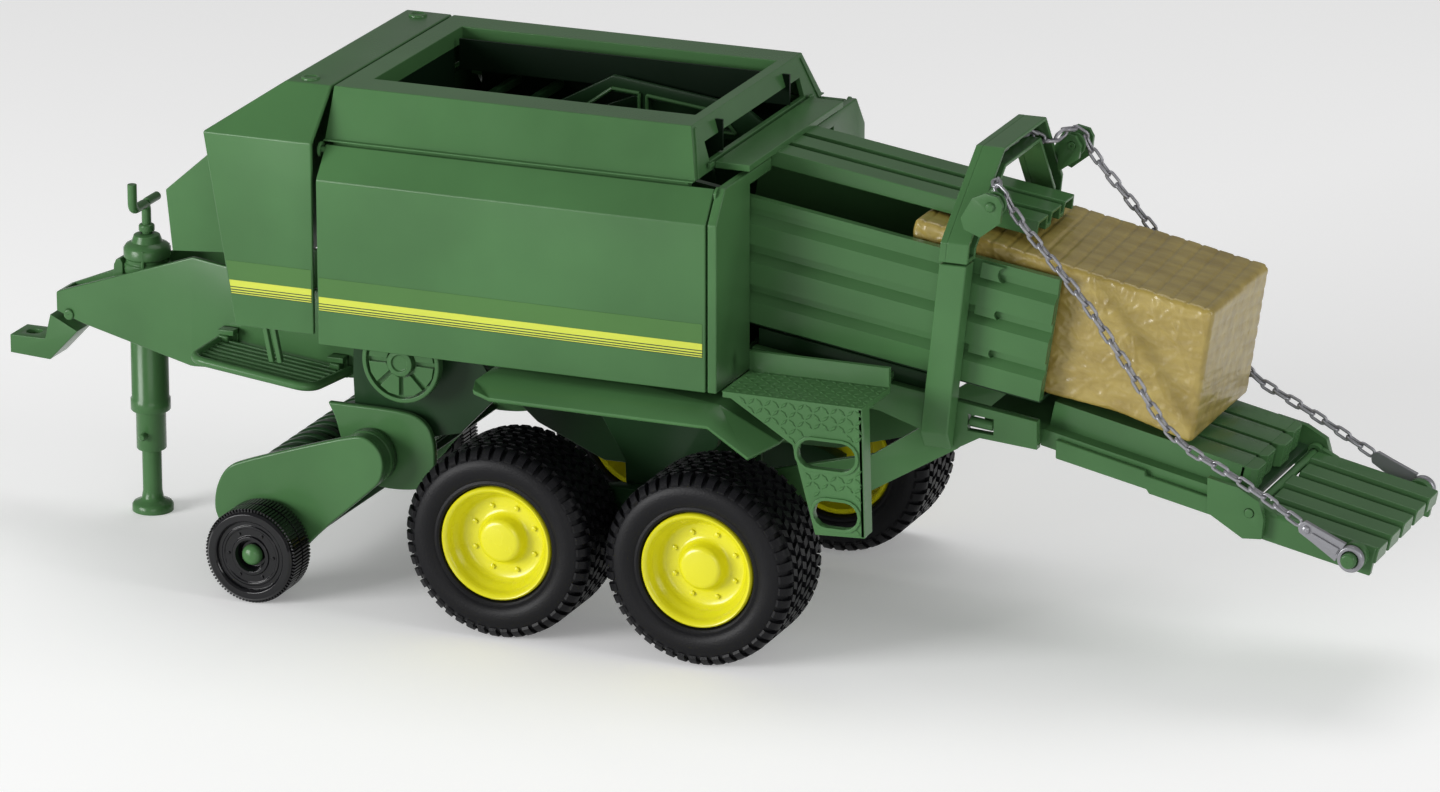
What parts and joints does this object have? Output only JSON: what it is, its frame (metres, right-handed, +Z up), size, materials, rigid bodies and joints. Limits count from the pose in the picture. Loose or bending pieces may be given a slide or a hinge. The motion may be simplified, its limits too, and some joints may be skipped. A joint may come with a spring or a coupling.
{
  "type": "toy square baler",
  "caption": "Toy large square baler to tow behind a toy tractor: tandem wheels, pickup, jack, open-top body, bale chute and a folding tail ramp on a chain.",
  "frame": {"origin": "under the middle of the overall length and width, at the height that the tyres stand on", "axes": "+X points back along the machine to the ramp, +Y to its other side, +Z up"},
  "size_m": [0.5802, 0.182, 0.2014],
  "materials": {
    "green": "glossy moulded plastic",
    "dark_green": "plain moulded plastic, inside and underneath",
    "tyre": "soft black plastic with block tread",
    "rim": "glossy yellow plastic",
    "gauge_wheel": "glossy black plastic",
    "straw_film": "straw-coloured moulding with a satin sheen",
    "chain": "dull silver"
  },
  "bodies": {
    "frame": {"chassis": "dark_green", "drawbar": "green", "hitch_eye": "green", "jack_outer": "green", "hood": "green", "nose_cover": "green", "hatch_frame": "green", "chamber_web": "dark_green", "rear_panel": "green", "chute_top": "green", "chute_floor": "dark_green", "arch": "green", "ramp": "green", "tail_pin": "green", "chain": "chain", "chute_near": "green", "rail_near": "green", "window_pin_near": "green", "bracket_near": "green", "fender_near": "green", "step_near": "green", "cheek_near": "green", "chute_far": "green", "rail_far": "green", "window_pin_far": "green", "bracket_far": "green", "fender_far": "green", "step_far": "green", "cheek_far": "green"},
    "jack_crank": {"jack_crank": "green"},
    "jack_tube": {"jack_tube": "green"},
    "jack_foot": {"jack_foot": "green"},
    "pickup": {"pickup_frame": "green"},
    "pickup_reel": {"pickup_reel": "green"},
    "tail": {"tail": "green", "hook_near": "chain", "hook_far": "chain"},
    "bale": {"bale": "straw_film"},
    "flywheels": {"flywheel_near": "green", "flywheel_far": "green"},
    "door_near": {"door_near": "green"},
    "platform_near": {"platform_near": "green"},
    "pulley_near": {"pulley_near": "green"},
    "gauge_wheel_near": {"gauge_wheel_near": "gauge_wheel"},
    "bogie_near": {"bogie_near": "dark_green"},
    "wheel_near_front": {"tyre_near_front": "tyre", "rim_near_front": "rim"},
    "wheel_near_rear": {"tyre_near_rear": "tyre", "rim_near_rear": "rim"},
    "door_far": {"door_far": "green"},
    "platform_far": {"platform_far": "green"},
    "pulley_far": {"pulley_far": "green"},
    "gauge_wheel_far": {"gauge_wheel_far": "gauge_wheel"},
    "bogie_far": {"bogie_far": "dark_green"},
    "wheel_far_front": {"tyre_far_front": "tyre", "rim_far_front": "rim"},
    "wheel_far_rear": {"tyre_far_rear": "tyre", "rim_far_rear": "rim"}
  },
  "joints": [
    {"name": "pickup_lift", "type": "hinge", "parent": "frame", "child": "pickup", "pos_m": [-0.1101, 0, 0.0552], "axis": [0, 1, 0], "range_deg": [0, 20]},
    {"name": "reel_spin", "type": "hinge", "parent": "pickup", "child": "pickup_reel", "pos_m": [-0.1456, 0, 0.0375], "axis": [0, 1, 0], "continuous": true},
    {"name": "jack_crank_turn", "type": "hinge", "parent": "frame", "child": "jack_crank", "pos_m": [-0.2321, 0, 0.114], "axis": [0, 0, 1], "range_deg": [0, 1800]},
    {"name": "jack_lift", "type": "slide", "parent": "frame", "child": "jack_tube", "axis": [0, 0, 1], "range_m": [0, 0.0075]},
    {"name": "jack_foot_slide", "type": "slide", "parent": "jack_tube", "child": "jack_foot", "axis": [0, 0, 1], "range_m": [0, 0.018]},
    {"name": "tail_fold", "type": "hinge", "parent": "frame", "child": "tail", "pos_m": [0.2409, 0, 0.0722], "axis": [0, -1, 0], "range_deg": [0, 95], "deforming": ["chain"]},
    {"name": "flywheels_spin", "type": "hinge", "parent": "frame", "child": "flywheels", "pos_m": [-0.0946, 0, 0.096], "axis": [0, 1, 0], "continuous": true},
    {"name": "bale_slide", "type": "slide", "parent": "frame", "child": "bale", "axis": [0.989, 0, -0.1478], "range_m": [-0.025, 0.024]},
    {"name": "door_near_open", "type": "hinge", "parent": "frame", "child": "door_near", "pos_m": [-0.04225, -0.0664, 0.1812], "axis": [-1, 0, 0], "range_deg": [0, 75]},
    {"name": "platform_near_fold", "type": "hinge", "parent": "frame", "child": "platform_near", "pos_m": [-0.1606, -0.024, 0.0807], "axis": [-0.9931, 0, 0.1172], "range_deg": [0, 35]},
    {"name": "pulley_near_spin", "type": "hinge", "parent": "frame", "child": "pulley_near", "pos_m": [0.1409, -0.0432, 0.1816], "axis": [0, 1, 0], "continuous": true},
    {"name": "gauge_wheel_near_spin", "type": "hinge", "parent": "pickup", "child": "gauge_wheel_near", "pos_m": [-0.1476, -0.0795, 0.019], "axis": [0, 1, 0], "continuous": true},
    {"name": "bogie_near_rock", "type": "hinge", "parent": "frame", "child": "bogie_near", "pos_m": [-0.00225, -0.046, 0.043], "axis": [0, 1, 0], "range_deg": [-6, 6]},
    {"name": "wheel_near_front_spin", "type": "hinge", "parent": "bogie_near", "child": "wheel_near_front", "pos_m": [-0.0434, -0.0715, 0.038], "axis": [0, 1, 0], "continuous": true},
    {"name": "wheel_near_rear_spin", "type": "hinge", "parent": "bogie_near", "child": "wheel_near_rear", "pos_m": [0.0389, -0.0715, 0.038], "axis": [0, 1, 0], "continuous": true},
    {"name": "door_far_open", "type": "hinge", "parent": "frame", "child": "door_far", "pos_m": [-0.04225, 0.0664, 0.1812], "axis": [1, 0, 0], "range_deg": [0, 75]},
    {"name": "platform_far_fold", "type": "hinge", "parent": "frame", "child": "platform_far", "pos_m": [-0.1606, 0.024, 0.0807], "axis": [0.9931, 0, -0.1172], "range_deg": [0, 35]},
    {"name": "pulley_far_spin", "type": "hinge", "parent": "frame", "child": "pulley_far", "pos_m": [0.1409, 0.0432, 0.1816], "axis": [0, 1, 0], "continuous": true},
    {"name": "gauge_wheel_far_spin", "type": "hinge", "parent": "pickup", "child": "gauge_wheel_far", "pos_m": [-0.1476, 0.0795, 0.019], "axis": [0, 1, 0], "continuous": true},
    {"name": "bogie_far_rock", "type": "hinge", "parent": "frame", "child": "bogie_far", "pos_m": [-0.00225, 0.046, 0.043], "axis": [0, 1, 0], "range_deg": [-6, 6]},
    {"name": "wheel_far_front_spin", "type": "hinge", "parent": "bogie_far", "child": "wheel_far_front", "pos_m": [-0.0434, 0.0715, 0.038], "axis": [0, 1, 0], "continuous": true},
    {"name": "wheel_far_rear_spin", "type": "hinge", "parent": "bogie_far", "child": "wheel_far_rear", "pos_m": [0.0389, 0.0715, 0.038], "axis": [0, 1, 0], "continuous": true}
  ],
  "couplings": [
    {"joint": "jack_crank_turn", "follows": "jack_lift", "rad_per_m": 4188}
  ]
}
